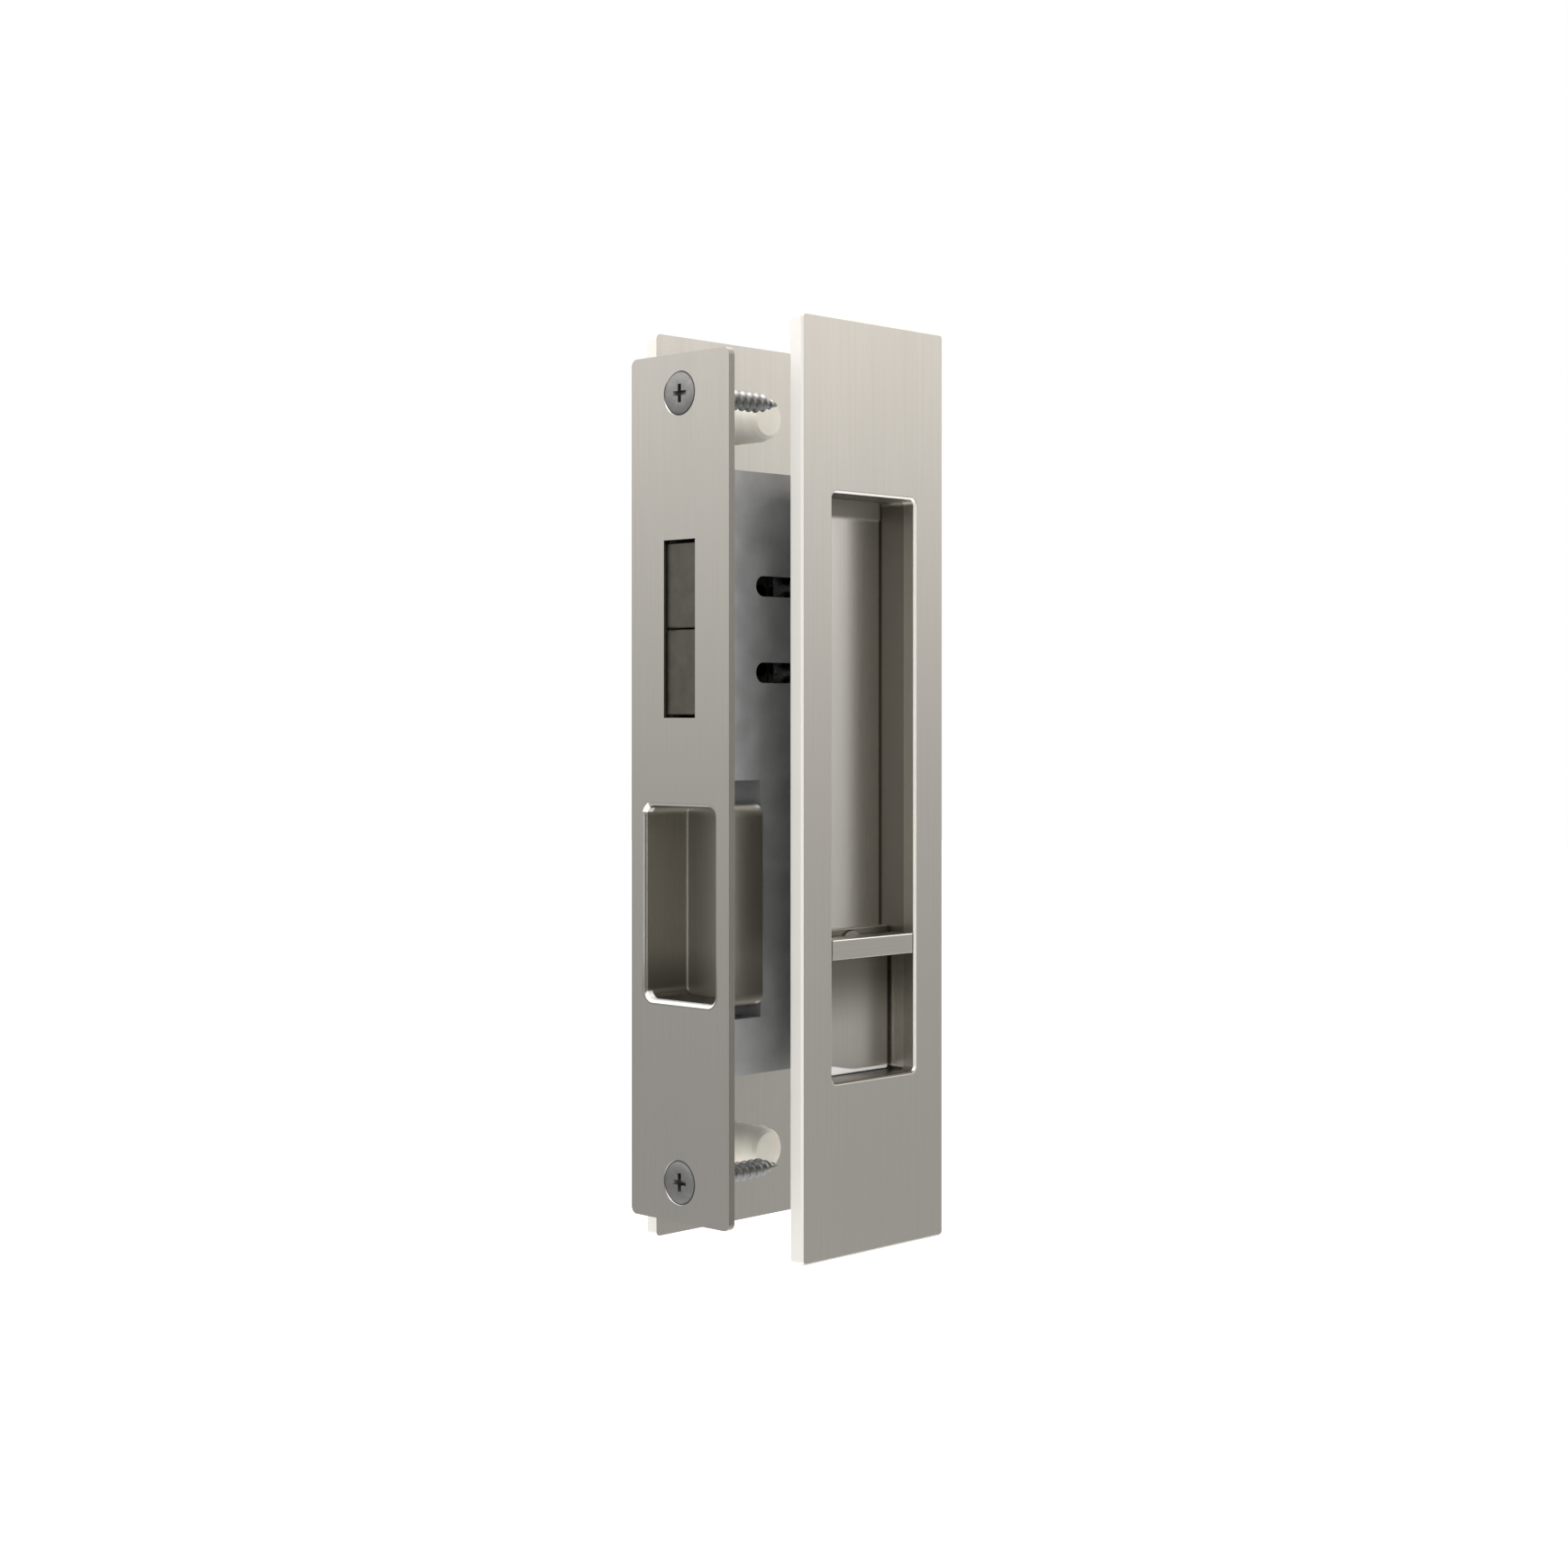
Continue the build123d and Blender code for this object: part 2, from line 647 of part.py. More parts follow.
def follower_tooth(direction):
    """One involute tooth, pointing along a direction in degrees."""
    base_r = pitch_r * math.cos(math.radians(pressure_deg))
    root_r = pitch_r - tooth_dedendum
    tip_r = pitch_r + tooth_addendum
    radii = [base_r + (tip_r - base_r) * i / 4 for i in range(5)]

    def at(radius, side):
        angle = math.radians(direction) + side * involute_half_angle(radius)
        return (backset + radius * math.cos(angle), turn_z + radius * math.sin(angle))

    def foot(side):
        angle = math.radians(direction) + side * involute_half_angle(base_r)
        inner = root_r - tooth_foot
        return (backset + inner * math.cos(angle), turn_z + inner * math.sin(angle))

    left = [at(r, 1) for r in radii]
    right = [at(r, -1) for r in reversed(radii)]
    outline = Spline(*left) + Line(left[-1], right[0]) + Spline(*right)
    outline += Polyline(right[-1], foot(-1), foot(1), left[0])
    return make_face(outline)


def follower():
    """Follower: ten involute teeth at one end of a hub with a square hole."""
    teeth = Pos(backset, turn_z) * Circle(pitch_r - tooth_dedendum)
    for i in range(follower_teeth):
        teeth += follower_tooth(180 + 360 * i / follower_teeth)
    gear = slab_y(teeth, slide_y0 - gear_over, slide_y1)
    hub = rod_y(backset, turn_z, hub_r, -case_half, case_half)
    side = spindle_w + 2 * spindle_gap
    square = Pos(backset, turn_z) * Rectangle(side, side)
    return gear + hub - slab_y(square, -case_half, case_half)


def spindle():
    """Square steel bar, with both ends reduced to enter the two journals."""
    middle = Pos(backset, turn_z) * Rectangle(spindle_w, spindle_w)
    thin = Pos(backset, turn_z) * Rectangle(spindle_end_w, spindle_end_w)
    shoulder = journal_end - spindle_shoulder_gap
    return slab_y(middle, -shoulder, shoulder) + slab_y(thin, -spindle_half, spindle_half)


os.makedirs("parts", exist_ok=True)

upper = hook()
release_seat = rod_y(backset, turn_z, release_disc_r + release_side_gap, -base_y, -release_seat_y)

nodes = {
    "edge_plate": edge_plate(),
    "edge_pull_cup": edge_cup(),
    "forend": forend(),
    "edge_plate_screws": Compound([wood_screw(z) for z in (-screw_z, screw_z)]),
    "forend_screws": Compound([
        forend_screw(z, cover_screw_head_r, cover_screw_r)
        for z in forend_screw_zs]),
    "lock_case": lock_case(),
    "case_cover": case_cover(),
    "case_pillars": pillars(),
    "cover_screws": cover_screws(),
    "cam_posts": cam_posts(),
    "slide_posts": slide_posts(),
    "upper_hook": upper,
    "lower_hook": lower_hook(upper),
    "hook_pins": hook_pins(),
    "hook_yoke": yoke(),
    "drive_pin": drive_pin(),
    "rack_slide": rack_slide(),
    "follower": follower(),
    "spindle": spindle(),
    "turn_snib": turn_snib(),
    "release_turn": outside(release_turn()),
    "inside_plate": pull_plate(),
    "inside_tray": pull_tray(),
    "inside_turn_base": turn_base(base_top_z),
    "inside_bush": turn_bush(),
    "inside_clip": clip(),
    "inside_studs": studs(),
    "inside_plugs": plugs(),
    "outside_plate": outside(pull_plate()),
    "outside_tray": outside(pull_tray()),
    "outside_turn_base": outside(turn_base(release_base_top_z) - release_seat),
    "outside_bush": outside(turn_bush()),
    "outside_clip": outside(clip()),
    "outside_studs": outside(studs()),
    "outside_plugs": outside(plugs()),
}
for name, part in nodes.items():
    save(part, name)
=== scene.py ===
import bmesh
import bpy
import math
from mathutils import Matrix, Vector


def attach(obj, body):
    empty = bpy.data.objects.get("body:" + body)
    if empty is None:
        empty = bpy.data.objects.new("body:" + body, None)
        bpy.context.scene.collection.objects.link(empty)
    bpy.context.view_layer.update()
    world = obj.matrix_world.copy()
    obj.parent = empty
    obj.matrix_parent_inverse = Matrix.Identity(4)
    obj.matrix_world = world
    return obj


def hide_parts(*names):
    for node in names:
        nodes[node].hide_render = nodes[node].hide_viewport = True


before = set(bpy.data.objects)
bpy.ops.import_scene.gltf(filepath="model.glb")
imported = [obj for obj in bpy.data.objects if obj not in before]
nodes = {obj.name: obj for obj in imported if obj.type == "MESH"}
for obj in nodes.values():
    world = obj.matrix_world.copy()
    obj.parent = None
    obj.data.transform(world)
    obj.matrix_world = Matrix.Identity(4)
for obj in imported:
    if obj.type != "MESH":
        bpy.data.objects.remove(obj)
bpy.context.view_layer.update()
MM = 0.001


# Edge plate
# The plate on the lock's edge: satin nickel plated brass sheet, cut to shape and brushed upright
# on a belt before it is lacquered. Two countersunk screws hold it to the forend behind it.
# Brushed nickel is warm, with fine upright lines and soft reflections.
def linear(hex_colour):
    """Linear colour of an sRGB hex value."""
    channels = [int(hex_colour[i:i + 2], 16) / 255 for i in (1, 3, 5)]
    return [c / 12.92 if c <= 0.04045 else ((c + 0.055) / 1.055) ** 2.4 for c in channels] + [1.0]


def add(tree, kind, sockets=None, stops=(), **settings):
    """A node with its settings, and its sockets set to values, or linked from sockets or from
    the first output of other nodes. Stops are a colour ramp's (place, colour) pairs."""
    node = tree.nodes.new("ShaderNode" + kind)
    for name, value in settings.items():
        setattr(node, name, value)
    for name, value in (sockets or {}).items():
        if isinstance(value, bpy.types.Node):
            value = value.outputs[0]
        if isinstance(value, bpy.types.NodeSocket):
            tree.links.new(value, node.inputs[name])
        else:
            node.inputs[name].default_value = value
    for i, (place, colour) in enumerate(stops):
        elements = node.color_ramp.elements
        stop = elements[i] if i < 2 else elements.new(place)
        stop.position, stop.color = place, colour
    return node


def new_material(name):
    """A material without nodes, and its node tree."""
    material = bpy.data.materials.new(name)
    material.use_nodes = True
    material.node_tree.nodes.clear()
    return material, material.node_tree


def soft_edge(tree, value, start, end, low=0.0, high=1.0):
    """A mask that goes smoothly from low to high as a value goes from start to end."""
    return add(tree, "MapRange", {
        "Value": value, "From Min": start, "From Max": end, "To Min": low, "To Max": high},
        interpolation_type="SMOOTHSTEP")


def facing(tree, toward, start=0.55, end=0.85):
    """One where a surface faces a way, in the part's own frame, and nothing where it turns off."""
    normal = add(tree, "TexCoord").outputs["Normal"]
    dot = add(tree, "VectorMath", {0: normal, 1: toward}, operation="DOT_PRODUCT")
    return soft_edge(tree, dot.outputs["Value"], start, end)


def where(tree):
    """A point's X, Y and Z on the part, in millimetres."""
    parts = add(tree, "SeparateXYZ", {"Vector": add(tree, "TexCoord").outputs["Object"]})
    return [add(tree, "Math", {0: parts.outputs[axis], 1: MM}, operation="DIVIDE")
            for axis in "XYZ"]


def brushed_nickel(name, light, dark, grain, rough, painted_light_and_shade=()):
    """Satin nickel over brass. The brush leaves hairlines 0.1 mm wide, drawn wider here so
    that they show, and a slow change of tone from stroke to stroke, both along the grain.
    The painted light and shade lay other tones on it, each by a mask: (mask, colour,
    roughness, how much of it is bare metal)."""
    material, tree = new_material(name)
    place = add(tree, "TexCoord").outputs["Object"]
    hair_w, hair_len = 0.26 * MM, 30 * MM
    stroke_w, stroke_len = 7 * MM, 110 * MM
    hair_scale = tuple(1 / (hair_len if along else hair_w) for along in grain)
    stroke_scale = tuple(1 / (stroke_len if along else stroke_w) for along in grain)
    hairlines = add(tree, "TexNoise", {
        "Vector": add(tree, "Mapping", {"Vector": place, "Scale": hair_scale}),
        "Scale": 1.0, "Detail": 3.0, "Roughness": 0.6})
    strokes = add(tree, "TexNoise", {
        "Vector": add(tree, "Mapping", {"Vector": place, "Scale": stroke_scale}),
        "Scale": 1.0, "Detail": 2.0})
    brushing = add(tree, "Mix", {"Factor": 0.3, "A": hairlines, "B": strokes})
    colour = add(tree, "ValToRGB", {"Fac": brushing},
                 stops=[(0.3, linear(dark)), (0.7, linear(light))])
    roughness = add(tree, "MapRange", {
        "Value": brushing, "From Min": 0.3, "From Max": 0.7,
        "To Min": rough + 0.04, "To Max": rough - 0.03})
    metallic = 1.0
    for mask_of, tone, tone_rough, tone_metal in painted_light_and_shade:
        mask = mask_of(tree)
        colour = add(tree, "MixRGB", {"Fac": mask, "Color1": colour, "Color2": linear(tone)})
        roughness = add(tree, "Mix", {"Factor": mask, "A": roughness, "B": tone_rough})
        if tone_metal < 1:
            metallic = add(tree, "Mix", {"Factor": mask, "A": metallic, "B": tone_metal})
    bump = add(tree, "Bump", {"Height": hairlines, "Strength": 0.08, "Distance": 0.015 * MM})
    surface = add(tree, "BsdfPrincipled", {
        "Base Color": colour, "Metallic": metallic, "Roughness": roughness, "Normal": bump})
    add(tree, "OutputMaterial", {"Surface": surface})
    return material


def dress(material, *names):
    """Gives CAD nodes a material in all their slots."""
    for name in names:
        for slot in nodes[name].material_slots:
            slot.material = material


upright = (0, 0, 1)
satin_rough = 0.30
# Painted shade: the edge plate's cut sides, which face along Y, are darkened to a grey.
shaded_cut_sides = [
    (lambda tree: facing(tree, (0, 1, 0)), "#98958e", 0.36, 1.0),
    (lambda tree: facing(tree, (0, -1, 0)), "#98958e", 0.36, 1.0)]
dress(brushed_nickel("satin_nickel_brushed_upright", "#ccc9c2", "#c4c1ba", upright,
                     satin_rough, shaded_cut_sides), "edge_plate")


# Edge pull
# A small cup drawn from the same brass sheet, plated with the plate and brushed inside. Its
# rolled lip stands in the plate's opening. Two tabs hold it behind. Shade is painted in its lower
# end and on its walls that face up or down, and highlights on its lips and along the floor's bend.
cup_half_w, cup_floor_x, cup_lip_x = 10.0, 11.7, 1.7
cup_low_z, cup_high_z = -32.0, -4.9


def cup_lower_wall_shade(tree):
    """Painted shade on the cup's lower wall, which faces up."""
    low = soft_edge(tree, where(tree)[2], cup_low_z + 2.0, cup_low_z)
    return add(tree, "Math", {0: facing(tree, (0, 0, 1), 0.2, 0.6), 1: low},
               operation="MULTIPLY")


def cup_low_end_shade(tree):
    """Painted shade on the lower end of the cup's floor and sides, darker down to the wall."""
    return soft_edge(tree, where(tree)[2], cup_low_z, cup_low_z - 9.5, 0.0, 0.85)


def cup_lip_highlight(tree):
    """A painted highlight on the lower lip and on the lip's upper corner."""
    x, y, z = where(tree)
    lower = add(tree, "Math", {
        0: soft_edge(tree, z, cup_low_z + 2.0, cup_low_z),
        1: facing(tree, (0, 0, 1), 0.15, 0.35)}, operation="MULTIPLY")
    corner = add(tree, "Math", {
        0: soft_edge(tree, y, cup_half_w - 1.1, cup_half_w - 0.7),
        1: soft_edge(tree, z, cup_high_z - 0.4, cup_high_z)}, operation="MULTIPLY")
    rubbed = add(tree, "Math", {0: lower, 1: corner}, operation="MAXIMUM")
    return add(tree, "Math", {0: soft_edge(tree, x, cup_lip_x + 0.4, cup_lip_x), 1: rubbed},
               operation="MULTIPLY")


def cup_corner_highlight(tree):
    """A painted highlight along the bend between the cup's floor and sides."""
    x, y, _ = where(tree)
    off_middle = add(tree, "Math", {0: y}, operation="ABSOLUTE")
    from_side = add(tree, "Math", {0: cup_half_w, 1: off_middle}, operation="SUBTRACT")
    side = add(tree, "Math", {
        0: soft_edge(tree, from_side, 0.50, 0.22), 1: soft_edge(tree, from_side, -0.4, -0.3)},
        operation="MULTIPLY")
    by_floor = soft_edge(tree, x, cup_floor_x - 0.3, cup_floor_x, 0.0, 0.55)
    return add(tree, "Math", {0: side, 1: by_floor}, operation="MULTIPLY")


dress(brushed_nickel("satin_nickel_drawn_cup", "#cbc8c1", "#bebbb4", upright, 0.33, [
    # Painted shade on the cup's walls that face down.
    (lambda tree: facing(tree, (0, 0, -1), 0.2, 0.6), "#a8a59e", 0.36, 1.0),
    (cup_low_end_shade, "#9a978f", 0.40, 1.0),
    (cup_lower_wall_shade, "#4e4b45", 0.45, 1.0),
    (cup_corner_highlight, "#f0ede6", 0.30, 0.6),
    (cup_lip_highlight, "#fdfcfa", 0.22, 0.3)]), "edge_pull_cup")


# Hooks
# Two hooks cut from 8.7 mm steel plate, ground on the front and blackened thinly, so they
# look dark and even in the slot.
def cloudy(tree, colour_hex, cloud_mm, shade, detail=4.0, fineness=0.6):
    """Noise clouds of a size, and a colour that goes with them to a darker shade of itself."""
    clouds = add(tree, "TexNoise", {
        "Vector": add(tree, "TexCoord").outputs["Object"], "Scale": 1 / (cloud_mm * MM),
        "Detail": detail, "Roughness": fineness})
    base = linear(colour_hex)
    darker = [c * shade for c in base[:3]] + [1.0]
    return clouds, add(tree, "ValToRGB", {"Fac": clouds}, stops=[(0.3, darker), (0.7, base)])


def dull_steel(name, colour_hex, cloud_mm, rough, bare=1.0):
    """Plain steel with a thin finish and a faint cloudy mottle, bare by how metallic it looks."""
    material, tree = new_material(name)
    clouds, colour = cloudy(tree, colour_hex, cloud_mm, 0.82)
    roughness = add(tree, "MapRange", {
        "Value": clouds, "From Min": 0.3, "From Max": 0.7,
        "To Min": rough - 0.05, "To Max": rough + 0.06})
    bump = add(tree, "Bump", {"Height": clouds, "Strength": 0.08, "Distance": 0.03 * MM})
    surface = add(tree, "BsdfPrincipled", {
        "Base Color": colour, "Metallic": bare, "Roughness": roughness, "Normal": bump})
    add(tree, "OutputMaterial", {"Surface": surface})
    return material


dress(dull_steel("ground_steel_blackened", "#6b6861", 3.0, 0.42), "upper_hook", "lower_hook")


# Forend, lock case and cover
# Folded steel sheet with clear zinc plating: cool pale grey, cloudy from the bath, and a little
# chalky, so it is lighter than bare metal in shade. Small rivets and pillars hold it together.
zinc_sheet = dull_steel("zinc_plated_steel_sheet", "#c9cccf", 7.0, 0.46, 0.75)
dress(zinc_sheet, "forend", "lock_case", "case_cover", "case_pillars", "inside_studs",
      "outside_studs")


# Pins, posts, yoke, slide and spindle
# Bright drawn steel, turned or punched, and lightly oiled. The posts stand fixed in the case,
# the pins in the yoke, and the rings hold the turns in their bushes.
bright_steel = dull_steel("bright_drawn_steel", "#a9a9aa", 2.0, 0.28)
dress(bright_steel, "cam_posts", "slide_posts", "hook_pins", "drive_pin", "hook_yoke",
      "rack_slide", "spindle", "inside_clip", "outside_clip")


# Follower
# A ten-tooth pinion on a hub with a square hole, die-cast in zinc and left dull from the die.
# The spindle turns it, and its teeth lift the slide.
dress(dull_steel("zinc_die_casting", "#a5a7aa", 1.5, 0.5), "follower")


# Edge plate screws
# Countersunk steel wood screws, zinc plated and cross headed, with a plain neck under the head
# and a rolled thread that runs out at the point. The recess is punched, so it tapers.
screw_z, screw_rim_r = 79.6, 4.4


def cross_head(mesh, head_r, cross_len, cross_w, cross_depth):
    """The face of a screw's head in the XY plane, facing +Z, with its tapered cross recess.
    Gives the edges of its rim."""
    punch_taper = 0.62
    bmesh.ops.create_grid(mesh, x_segments=3, y_segments=3, size=cross_len / 2)
    for vert in mesh.verts:
        for axis in (0, 1):
            if abs(vert.co[axis]) < cross_len / 3:
                vert.co[axis] = math.copysign(cross_w / 2, vert.co[axis])
    centres = [(face, face.calc_center_median()) for face in mesh.faces]
    corners = [face for face, at in centres if min(abs(at.x), abs(at.y)) > cross_w / 2]
    bmesh.ops.delete(mesh, geom=corners, context="FACES")
    outline = [edge for edge in mesh.edges if edge.is_boundary]
    cross = list(mesh.faces)
    rim = set(bmesh.ops.create_circle(mesh, cap_ends=False, segments=48, radius=head_r)["verts"])
    rim_edges = [edge for edge in mesh.edges if edge.verts[0] in rim]
    bmesh.ops.triangle_fill(mesh, use_beauty=True, edges=outline + rim_edges, normal=(0, 0, 1))
    pushed = bmesh.ops.extrude_face_region(mesh, geom=cross)["geom"]
    floor_verts = [item for item in pushed if isinstance(item, bmesh.types.BMVert)]
    bmesh.ops.delete(mesh, geom=[face for face in cross if face.is_valid], context="FACES_ONLY")
    bmesh.ops.translate(mesh, verts=floor_verts, vec=(0, 0, -cross_depth))
    bmesh.ops.scale(mesh, verts=floor_verts, vec=(punch_taper, punch_taper, 1))
    return rim_edges


def draw_down(mesh, edges, radius, steps_mm):
    """Carries a round rim down -Z through steps of (radius, drop), and closes its end."""
    for radius_mm, drop_mm in steps_mm:
        made = bmesh.ops.extrude_edge_only(mesh, edges=edges)["geom"]
        ring = {item for item in made if isinstance(item, bmesh.types.BMVert)}
        edges = [item for item in made if isinstance(item, bmesh.types.BMEdge)
                 and item.verts[0] in ring and item.verts[1] in ring]
        factor = radius_mm * MM / radius
        bmesh.ops.scale(mesh, verts=list(ring), vec=(factor, factor, 1))
        bmesh.ops.translate(mesh, verts=list(ring), vec=(0, 0, -drop_mm * MM))
        radius = radius_mm * MM
    bmesh.ops.holes_fill(mesh, edges=edges, sides=0)


def rolled_thread(mesh, top, length, root_r, crest_r, pitch, point_len, point_r):
    """A helical ridge down the shank from a depth, rising out of it and narrowing with the
    point. Its foot is sunk in the shank."""
    sunk, half_foot, per_turn = 0.15 * MM, 0.32 * pitch, 28
    ridge = [mesh.verts.new(place) for place in (
        (root_r - sunk, 0, -top + half_foot), (crest_r, 0, -top),
        (root_r - sunk, 0, -top - half_foot))]
    edges = [mesh.edges.new((ridge[i], ridge[(i + 1) % 3])) for i in range(3)]
    turns = length / pitch
    steps = round(turns * per_turn)
    shank = set(mesh.verts) - set(ridge)
    bmesh.ops.spin(mesh, geom=ridge + edges, cent=(0, 0, 0), axis=(0, 0, 1),
                   angle=-math.tau * turns, steps=steps, dvec=(0, 0, -length / steps),
                   use_merge=False, use_duplicate=False)
    run_out = top + length - point_len
    rise, low_r = 1.2 * pitch, root_r - 0.1 * MM
    for vert in set(mesh.verts) - shank:
        depth = -vert.co.z
        into_point = min(1.0, max(0.0, (depth - run_out) / point_len))
        risen = min(1.0, max(0.0, (depth - top) / rise))
        reach = math.hypot(vert.co.x, vert.co.y)
        reach_now = low_r + (reach - low_r) * risen if reach > root_r else reach
        factor = (1 - into_point * (1 - point_r / root_r)) * reach_now / reach
        vert.co.x *= factor
        vert.co.y *= factor
    ends = [edge for edge in mesh.edges if edge.is_boundary and edge.verts[0] not in shank]
    bmesh.ops.holes_fill(mesh, edges=ends, sides=3)


def piece(name, mesh, material, slot, body, *stands_for):
    """Finishes a mesh as a piece that rides on a body and stands for CAD nodes."""
    bmesh.ops.recalc_face_normals(mesh, faces=mesh.faces)
    data = bpy.data.meshes.new(name)
    mesh.to_mesh(data)
    mesh.free()
    data.materials.append(material)
    data.polygons.foreach_set("use_smooth", [True] * len(data.polygons))
    data.set_sharp_from_angle(angle=math.radians(32))
    thing = bpy.data.objects.new(name, data)
    bpy.context.scene.collection.objects.link(thing)
    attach(thing, body)
    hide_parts(*stands_for)


def set_out(mesh, places_mm, turn):
    """Turns a fastener's mesh from +Z the way it faces, and copies it to its places."""
    bmesh.ops.rotate(mesh, verts=mesh.verts, cent=(0, 0, 0), matrix=turn)
    first, *others = [Vector(place) * MM for place in places_mm]
    original = list(mesh.verts) + list(mesh.edges) + list(mesh.faces)
    for place in others:
        copied = bmesh.ops.duplicate(mesh, geom=original)["geom"]
        bmesh.ops.translate(
            mesh, vec=place - first,
            verts=[item for item in copied if isinstance(item, bmesh.types.BMVert)])
    bmesh.ops.translate(mesh, verts=mesh.verts, vec=first)


def screw_plating(name, colour_hex, rim_shade_hex):
    """Zinc plated screw steel, with shade painted in a ring at each head's rim."""
    material, tree = new_material(name)
    clouds, colour = cloudy(tree, colour_hex, 1.0, 0.8)
    _, y, z = where(tree)
    height = add(tree, "Math", {0: z}, operation="ABSOLUTE")
    above = add(tree, "Math", {0: height, 1: screw_z}, operation="SUBTRACT")
    off_screw = add(tree, "CombineXYZ", {"X": y, "Y": above})
    off_axis = add(tree, "VectorMath", {0: off_screw}, operation="LENGTH").outputs["Value"]
    ring = soft_edge(tree, off_axis, screw_rim_r - 0.40, screw_rim_r - 0.05, 0.0, 0.8)
    colour = add(tree, "MixRGB", {"Fac": ring, "Color1": colour, "Color2": linear(rim_shade_hex)})
    bump = add(tree, "Bump", {"Height": clouds, "Strength": 0.10, "Distance": 0.03 * MM})
    surface = add(tree, "BsdfPrincipled", {
        "Base Color": colour, "Metallic": 1.0, "Roughness": 0.38, "Normal": bump})
    add(tree, "OutputMaterial", {"Surface": surface})
    return material


wood_screw = bmesh.new()
rim = cross_head(wood_screw, head_r=4.3 * MM, cross_len=3.8 * MM, cross_w=0.95 * MM,
                 cross_depth=1.6 * MM)
draw_down(wood_screw, rim, 4.3 * MM, [
    (4.42, 0.06), (4.40, 0.14), (2.3, 2.1), (2.25, 3.7), (1.55, 0.6), (1.55, 16.4), (0.3, 5.0)])
rolled_thread(wood_screw, top=6.9 * MM, length=20.3 * MM, root_r=1.55 * MM,
              crest_r=2.1 * MM, pitch=2.0 * MM, point_len=4.4 * MM, point_r=0.5 * MM)
under_face_x = 0.02
set_out(wood_screw, [(under_face_x, 0, screw_z), (under_face_x, 0, -screw_z)],
        Matrix.Rotation(math.radians(-90), 3, "Y"))
piece("edge_plate_wood_screws", wood_screw,
      screw_plating("zinc_plated_screw_steel", "#9d9d9c", "#3b3c3e"),
      "screw_steel", "case", "edge_plate_screws")


# Cover screws and forend screws
# Small zinc plated machine screws, cross headed: cheese heads hold the cover to the pillars and
# countersunk heads tie the forend to the case's flanges.
machine_plating = dull_steel("zinc_plated_machine_screws", "#b4b6b9", 1.0, 0.36)
cover_screw = bmesh.new()
rim = cross_head(cover_screw, head_r=2.45 * MM, cross_len=3.2 * MM, cross_w=0.7 * MM,
                 cross_depth=0.8 * MM)
draw_down(cover_screw, rim, 2.45 * MM, [
    (2.62, 0.08), (2.7, 0.22), (2.7, 1.0), (1.5, 0.001), (1.5, 7.5), (1.1, 0.45)])
pillar_x, head_y, pillar_z = 44.5, -10.3, (-51, 2, 57)
set_out(cover_screw, [(pillar_x, head_y, z) for z in pillar_z],
        Matrix.Rotation(math.radians(90), 3, "X"))
piece("cheese_head_cover_screws", cover_screw, machine_plating, "zinc_steel", "case",
      "cover_screws")
dress(machine_plating, "forend_screws")


# Pulls
# Flat plates of solid brass, satin nickel plated and brushed upright, with milled edges. Their
# long sides are painted a paler, less metallic tone that shows them as brightly lit.
pull_x, pull_face_y, pull_half_w = 33.5, 22.8, 21.5
opening_half_w, near_end_z = 12.6, 50.0


def sideways(tree):
    """One on surfaces that face along X, towards the edge plate or away from it."""
    return add(tree, "Math", {
        0: facing(tree, (1, 0, 0), 0.30, 0.62), 1: facing(tree, (-1, 0, 0), 0.30, 0.62)},
        operation="MAXIMUM")


def off_middle(tree):
    """Distance along X from the pull's middle, in millimetres."""
    along = add(tree, "Math", {0: where(tree)[0], 1: pull_x}, operation="SUBTRACT")
    return add(tree, "Math", {0: along}, operation="ABSOLUTE")


def in_opening(tree):
    """One on the opening's walls and lips, and nothing on the plate's own sides."""
    return soft_edge(tree, off_middle(tree), opening_half_w + 1.9, opening_half_w + 1.4)


def plate_side_painted_light(tree):
    """Painted light on the plate's two long milled sides, in a paler, less metallic tone."""
    outer = soft_edge(tree, off_middle(tree), pull_half_w - 1.1, pull_half_w - 0.6)
    return add(tree, "Math", {0: sideways(tree), 1: outer}, operation="MULTIPLY")


def opening_lip_highlight(tree):
    """A painted highlight on the rounded long lips of the opening and its upper lip."""
    _, y, z = where(tree)
    out_y = add(tree, "Math", {0: y}, operation="ABSOLUTE")
    front = soft_edge(tree, out_y, pull_face_y - 0.68, pull_face_y - 0.55)
    upper = add(tree, "Math", {
        0: facing(tree, (0, 0, -1), 0.12, 0.40),
        1: soft_edge(tree, z, near_end_z, near_end_z + 2.0)}, operation="MULTIPLY")
    rounded = add(tree, "Math", {0: sideways(tree), 1: upper}, operation="MAXIMUM")
    lips = add(tree, "Math", {0: front, 1: in_opening(tree)}, operation="MULTIPLY")
    return add(tree, "Math", {0: lips, 1: rounded}, operation="MULTIPLY")


def opening_head_shade(tree):
    """Painted shade on the opening's upper wall behind its lip, darkest towards the edge plate."""
    x, _, z = where(tree)
    upper = add(tree, "Math", {
        0: in_opening(tree), 1: soft_edge(tree, z, near_end_z, near_end_z + 2.0)},
        operation="MULTIPLY")
    duller = soft_edge(tree, x, pull_x + 8.5, pull_x - 7.5, 0.3, 1.0)
    dull = add(tree, "Math", {0: upper, 1: duller}, operation="MULTIPLY")
    return add(tree, "Math", {0: facing(tree, (0, 0, -1), 0.5, 0.8), 1: dull},
               operation="MULTIPLY")


def opening_sill_shade(tree):
    """Painted shade on the opening's lower wall and its lip."""
    lower = add(tree, "Math", {
        0: in_opening(tree),
        1: soft_edge(tree, where(tree)[2], -near_end_z, -near_end_z - 2.0)},
        operation="MULTIPLY")
    return add(tree, "Math", {0: facing(tree, (0, 0, 1), 0.2, 0.5), 1: lower},
               operation="MULTIPLY")
